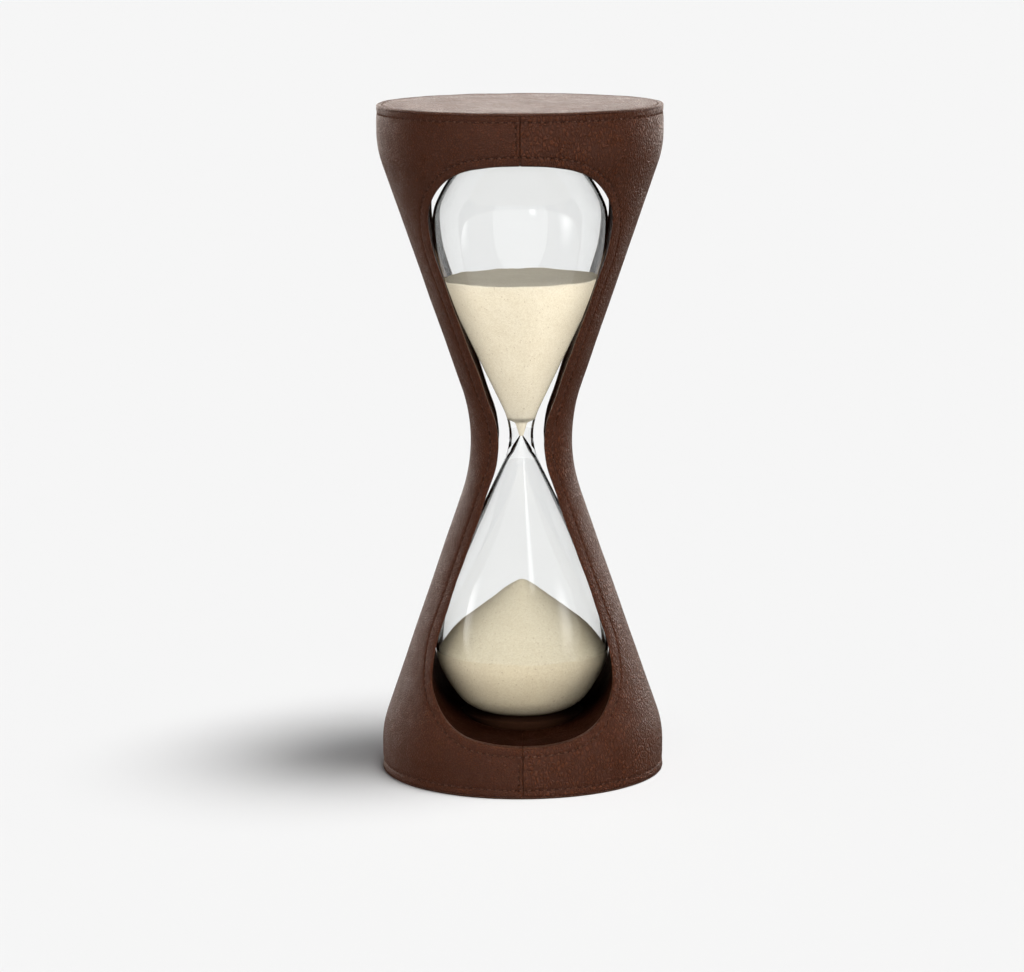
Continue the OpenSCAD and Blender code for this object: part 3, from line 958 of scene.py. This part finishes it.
def clear_glass():
    """Clear glass that lets lamps through to what is inside it."""
    m, t, shader = material("clear_glass_blown")
    shader.inputs["Base Color"].default_value = (0.985, 0.992, 0.99, 1)
    shader.inputs["Roughness"].default_value = 0.0
    shader.inputs["IOR"].default_value = 1.47
    shader.inputs["Transmission Weight"].default_value = 1.0
    waves = noise_fac(t, object_place(t), 1 / (28 * MM), 1.0)
    bump = add(t, "Bump", {"Strength": 0.06, "Distance": 1.5 * MM, "Height": waves})
    t.links.new(bump.outputs[0], shader.inputs["Normal"])
    through = add(t, "BsdfTransparent", {"Color": (0.93, 0.95, 0.94, 1)})
    is_lamp = add(t, "LightPath").outputs["Is Shadow Ray"]
    mix = add(t, "MixShader", {0: is_lamp, 1: shader.outputs[0], 2: through.outputs[0]})
    t.links.new(mix.outputs[0], t.nodes["Material Output"].inputs["Surface"])
    return m


def sand_material(name, pale, deep, speck_and_glint_colour, speck_and_glint_share, grain=0.42):
    """Fine sand: grains of slightly different tones, and a share of specks of another colour, which are dark
    grains in the pale sand and painted glints on the upper sand's painted-shade top.
    """
    m, t, shader = material(name)
    place = object_place(t)
    grains = add(t, "TexVoronoi", {"Vector": place, "Scale": 1 / (grain * MM)})
    tone = add(t, "SeparateColor", {0: grains.outputs["Color"]})
    single = math_node(t, "MULTIPLY", tone.outputs[0], 0.55)
    clouds = math_node(t, "MULTIPLY", noise_fac(t, place, 1 / (9 * MM), 3.0), 0.45)
    mixed = remap(t, math_node(t, "ADD", single, clouds), 0.15, 0.85, 0.0, 1.0)
    body = blend(t, mixed, rgba(deep), rgba(pale))
    # Specks: dark grains in the pale sand, painted glints on the shaded top of the upper sand.
    speck_and_glint_mask = remap(t, tone.outputs[1], 1 - speck_and_glint_share - 0.02, 1 - speck_and_glint_share + 0.02, 0.0, 0.75)
    colour = blend(t, speck_and_glint_mask, body, rgba(speck_and_glint_colour))
    finish_material(t, shader, colour, grains.outputs["Distance"], 0.55, 0.12, 0.9)
    shader.inputs["Specular IOR Level"].default_value = 0.25
    return m


def wood(name, dark, light):
    """Turned hardwood, with growth rings and pores."""
    m, t, shader = material(name)
    long = add(t, "Mapping", {"Vector": object_place(t), "Scale": (1, 1, 0.12)}).outputs[0]
    waves = {"Vector": long, "Scale": 55.0, "Distortion": 5.0, "Detail": 3.0, "Detail Scale": 2.0}
    rings = add(t, "TexWave", waves).outputs["Fac"]
    pores = noise_fac(t, long, 2600.0, 2.0)
    body = blend(t, rings, rgba(dark), rgba(light))
    body = blend(t, remap(t, pores, 0.35, 0.5, 0.45, 0.0), body, rgba(dark, 0.4))
    finish_material(t, shader, body, pores, 0.3, 0.1, 0.62)
    return m


def felt(name, dark, light):
    """Pressed wool felt."""
    m, t, shader = material(name)
    fibres = noise_fac(t, object_place(t), 1 / (0.5 * MM), 6.0, Distortion=2.5)
    body = blend(t, remap(t, fibres, 0.35, 0.65, 0.0, 1.0), rgba(dark), rgba(light))
    finish_material(t, shader, body, fibres, 0.8, 0.2, 0.95)
    shader.inputs["Specular IOR Level"].default_value = 0.1
    return m


def cork_material(name, dark, light):
    """Cork: bits of two tones, pressed together."""
    m, t, shader = material(name)
    bits = add(t, "TexVoronoi", {"Vector": object_place(t), "Scale": 1 / (0.9 * MM)})
    tone = add(t, "SeparateColor", {0: bits.outputs["Color"]}).outputs[0]
    body = blend(t, tone, rgba(dark), rgba(light))
    finish_material(t, shader, body, bits.outputs["Distance"], 0.6, 0.15, 0.85)
    return m


def thread_material(name, dark, light):
    """Waxed sewing thread, with its twist."""
    m, t, shader = material(name)
    turned_place = add(t, "Mapping", {"Vector": object_place(t), "Rotation": (0.6, 0.5, 0.8)}).outputs[0]
    waves = {"Vector": turned_place, "Scale": 1 / (2.4 * MM), "Distortion": 1.5, "Detail": 1.0}
    twist = add(t, "TexWave", waves).outputs["Fac"]
    finish_material(t, shader, blend(t, twist, rgba(dark), rgba(light)), twist, 0.5, 0.08, 0.55)
    return m


def paint(obj, *materials):
    obj.data.materials.clear()
    for m in materials:
        obj.data.materials.append(m)
    return obj


# ---- putting it together --------------------------------------------------------------------
LEATHER_DARK = (0.058, 0.0140, 0.0036)
LEATHER_LIGHT = (0.079, 0.0210, 0.0062)
SLANT = {"stretch": (1, 1, 0.62), "turn": (0, 0.6, 0)}
left_leather = leather("frame_leather_left", LEATHER_DARK, LEATHER_LIGHT, 0.95)
right_leather = leather("frame_leather_right", LEATHER_DARK, LEATHER_LIGHT, 1.25, depth=1.7, **SLANT)
lining_tones = (0.015, 0.0040, 0.0018), (0.024, 0.0070, 0.0032)
lining_leather = leather("lining_leather_dark", *lining_tones, 0.9, depth=0.8, ior=1.06)
# The end discs take a paler copy of the frame's leather: painted light, beside the real reflection of the
# backdrop.
lit_end_tones = (0.085, 0.031, 0.016), (0.125, 0.050, 0.028)
end_leather_lit = leather("end_leather_painted_light", *lit_end_tones, 1.1, depth=2.0, ior=1.5)
thread_brown = thread_material("thread_brown", (0.055, 0.019, 0.010), (0.095, 0.040, 0.024))
pale_tones = (0.72, 0.66, 0.53), (0.64, 0.57, 0.44), (0.30, 0.20, 0.12)
sand_pale = sand_material("sand_pale", *pale_tones, speck_and_glint_share=0.006)
# The top of the upper sand is a darker copy of the sand, as painted shade, with many pale specks as painted
# glints.
shaded_top_and_glint_tones = (0.40, 0.31, 0.22), (0.10, 0.075, 0.055), (0.97, 0.95, 0.90)
sand_top_shaded = sand_material("sand_top_painted_shade", *shaded_top_and_glint_tones, speck_and_glint_share=0.16, grain=1.5)
glass_clear = clear_glass()
core_wood = wood("core_wood_turned", (0.16, 0.085, 0.042), (0.27, 0.16, 0.085))
dowel_wood = wood("dowel_wood_turned", (0.42, 0.29, 0.16), (0.55, 0.40, 0.24))
felt_dark = felt("seat_felt_dark", (0.018, 0.0065, 0.003), (0.030, 0.012, 0.006))
cork_bits = cork_material("stopper_cork_bits", (0.30, 0.17, 0.08), (0.56, 0.37, 0.20))

for name, leather_used, s in (("sleeve_left", left_leather, -1), ("sleeve_right", right_leather, 1)):
    skin = paint(sleeve(name + "_skin", s), leather_used)
    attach(skin, "frame")
    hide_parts(name)

for name, s in (("lining_left", -1), ("lining_right", 1)):
    wall = paint(lining(name + "_skin", s), lining_leather)
    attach(wall, "frame")
    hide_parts(name)

for name, s in (("top_disc", 1), ("bottom_disc", -1)):
    end = paint(disc(name + "_skin", s), end_leather_lit)
    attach(end, "frame")
    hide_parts(name)

for name in ROWS:
    row = paint(stitches(name), thread_brown)
    row.name = name + "_stitches"
    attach(row, "frame")
    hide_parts(name)

bulb = paint(glass(), glass_clear)
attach(bulb, "frame")
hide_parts("glass_bulb")

upper_space = bulb_space("upper_space", 1)
lower_space = bulb_space("lower_space", -1)
# The upper sand's top faces take the painted-shade copy of the sand.
upper = paint(sand("upper_sand_grains", upper_surface, -TRAVEL, upper_space), sand_pale, sand_top_shaded)
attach(upper, "falling_sand")
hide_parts("upper_sand")
heap = sand("lower_sand_heap", heap_surface, -HALF_H - TRAVEL, lower_space)
paint(heap, sand_pale, sand_pale)
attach(heap, "growing_heap")
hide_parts("lower_sand")

for name, s in (("upper_seat_pad", 1), ("lower_seat_pad", -1)):
    pad = paint(felt_pad(name + "_felt", s), felt_dark)
    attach(pad, "frame")
    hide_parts(name)

stopper = paint(cork(), cork_bits)
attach(stopper, "frame")
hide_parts("fill_stopper")

for name in ("core_left", "core_right"):
    paint(frame["nodes"][name], core_wood)
paint(frame["nodes"]["core_dowels"], dowel_wood)


# ---- floor, light and camera ----------------------------------------------------------------
def floor():
    """A pale disc, 14 m in radius, whose edge can't be told from the background."""
    size = 14 / MM
    a = np.linspace(0, 2 * math.pi, 96, endpoint=False)
    rim = [(size * math.cos(b), size * math.sin(b), -HALF_H) for b in a]
    obj = make("floor", rim, [list(range(len(rim)))], smooth=False)
    m, _, shader = material("floor_pale")
    shader.inputs["Base Color"].default_value = grey(FLOOR_ALBEDO)
    shader.inputs["Roughness"].default_value = 1.0
    shader.inputs["Specular IOR Level"].default_value = 0.0
    paint(obj, m)
    obj.visible_glossy = False
    obj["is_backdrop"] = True
    return obj


def world():
    """Dim all round, but as bright as the floor where the camera sees it, straight or through glass."""
    w = bpy.data.worlds.new("studio")
    bpy.context.scene.world = w
    w.use_nodes = True
    t = w.node_tree
    rays = add(t, "LightPath").outputs
    colour = blend(t, rays["Is Glossy Ray"], grey(AMBIENT), rgba(DARK_STUDIO))
    colour = blend(t, rays["Is Camera Ray"], colour, grey(FLOOR_LEVEL))
    colour = blend(t, rays["Is Transmission Ray"], colour, grey(THROUGH_GLASS))
    t.links.new(colour, t.nodes["Background"].inputs["Color"])


def towards(azimuth, elevation):
    """A direction from the hourglass. Azimuth 0 is the front, and positive is to the right."""
    a, e = math.radians(azimuth), math.radians(elevation)
    return Vector((math.sin(a) * math.cos(e), -math.cos(a) * math.cos(e), math.sin(e)))


def sun(name, azimuth, elevation, level, width):
    """A far lamp of the given angular width, which isn't seen in reflections."""
    lamp = bpy.data.lights.new(name, "SUN")
    lamp.energy = level * math.pi
    lamp.angle = math.radians(width)
    obj = bpy.data.objects.new(name, lamp)
    obj.rotation_mode = "QUATERNION"
    obj.rotation_quaternion = towards(azimuth, elevation).to_track_quat("Z", "Y")
    obj.visible_glossy = False
    obj.visible_transmission = False
    bpy.context.scene.collection.objects.link(obj)
    return obj


# The key light is a wide softbox high on the right, as suns side by side: azimuth, elevation, share.
KEY = ((92, 72, 1.0), (74, 75, 1.0), (52, 77, 1.0), (26, 78, 0.6))
KEY_WIDTH = 20


def key_light():
    """Together the suns bring the floor to its level."""
    total = sum(share * math.sin(math.radians(elevation)) for _, elevation, share in KEY)
    unit = (FLOOR_LEVEL / FLOOR_ALBEDO - AMBIENT) / total
    for i, (azimuth, elevation, share) in enumerate(KEY):
        sun(f"key_{i}", azimuth, elevation, unit * share, KEY_WIDTH)


def group(name, objects):
    """A collection that isn't in the scene, to say what a light shines on."""
    members = bpy.data.collections.new(name)
    for obj in objects:
        members.objects.link(obj)
    return members


def softbox(name, azimuth, elevation, width, height, fade, distance=1.6, tint=(1, 1, 1), seen_by=()):
    """A glowing panel with soft edges that is only seen in reflections. Width and height are angles."""
    w = distance * math.tan(math.radians(width / 2))
    h = distance * math.tan(math.radians(height / 2))
    mesh = bpy.data.meshes.new(name)
    mesh.from_pydata([(-w, -h, 0), (w, -h, 0), (w, h, 0), (-w, h, 0)], [], [(0, 1, 2, 3)])
    obj = bpy.data.objects.new(name, mesh)
    out = towards(azimuth, elevation)
    obj.location = Vector((0, 0, HALF_H * MM)) + distance * out
    obj.rotation_mode = "QUATERNION"
    obj.rotation_quaternion = out.to_track_quat("Z", "Y")
    m, t, shader = material(name)
    t.nodes.remove(shader)
    across = add(t, "SeparateXYZ", {0: add(t, "TexCoord").outputs["Generated"]})
    level = SOFTBOX_LEVEL
    for side in across.outputs[:2]:
        rise = remap(t, side, 0.0, fade, 0.0, 1.0)
        fall = remap(t, side, 1.0 - fade, 1.0, 1.0, 0.0)
        level = math_node(t, "MULTIPLY", math_node(t, "MULTIPLY", rise, fall), level)
    glow = add(t, "Emission", {"Color": rgba(tint), "Strength": level})
    t.links.new(glow.outputs[0], t.nodes["Material Output"].inputs["Surface"])
    paint(obj, m)
    obj.visible_camera = False
    obj.visible_diffuse = False
    obj.visible_transmission = False
    obj.visible_shadow = False
    if seen_by:
        obj.light_linking.receiver_collection = group(name, seen_by)
    bpy.context.scene.collection.objects.link(obj)
    obj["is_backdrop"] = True


# Weak, wide lights that don't reach the floor: azimuth, elevation and level.
SIDE_FILL = ((-60, 18, 0.80), (54, 20, 0.98), (0, 24, 0.08))
SAND_FILL = ((-70, 12, 0.74), (70, 12, 0.98), (-20, 20, 0.32), (20, 24, 0.32))
HEAP_FILL = ((-70, 12, 0.27), (70, 12, 0.29), (-16, 26, 0.52), (16, 30, 0.52))
FILL_WIDTH = 40


def fill(name, lamps, receivers, shadows, tint=(1, 1, 1)):
    """Lights for some pieces only."""
    lit = group(name, receivers)
    for i, (azimuth, elevation, level) in enumerate(lamps):
        obj = sun(f"{name}_{i}", azimuth, elevation, level, FILL_WIDTH)
        obj.data.color = tint
        obj.data.use_shadow = shadows
        obj.light_linking.receiver_collection = lit


def camera():
    """Looks along +Y, a little down and almost level."""
    data = bpy.data.cameras.new("camera")
    data.sensor_width = 36
    data.lens = LENS
    data.clip_start = 0.05
    data.clip_end = 60
    obj = bpy.data.objects.new("camera", data)
    ahead = towards(180 - math.degrees(CAMERA_YAW), -math.degrees(CAMERA_DOWN))
    right = Vector((math.cos(CAMERA_YAW), -math.sin(CAMERA_YAW), 0))
    up = right.cross(ahead)
    c, s = math.cos(CAMERA_ROLL), math.sin(CAMERA_ROLL)
    turn = Matrix((c * right + s * up, -s * right + c * up, -ahead)).transposed()
    obj.matrix_world = Matrix.Translation(CAMERA) @ turn.to_4x4()
    bpy.context.scene.collection.objects.link(obj)
    bpy.context.scene.camera = obj


floor()
world()
key_light()
grains = [upper, heap]
fill("side_fill", SIDE_FILL, [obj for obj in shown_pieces() if obj not in grains], True)
fill("upper_sand_fill", SAND_FILL, [upper], False)
fill("heap_fill", HEAP_FILL, [heap], True, tint=(1, 0.92, 0.80))
shiny = [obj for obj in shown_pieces() if obj.name.startswith(("sleeve", "top_disc"))]
softbox("box_left", -82, 6, 26, 50, fade=0.45)
softbox("box_right", 62, 8, 26, 50, fade=0.45)
softbox("strip_front", 18, 40, 12, 34, fade=0.4)
softbox("backdrop", 180, 12, 100, 40, fade=0.15, distance=3.0, tint=(1, 0.90, 0.83), seen_by=shiny)
camera()
bpy.context.scene.view_settings.view_transform = "Standard"
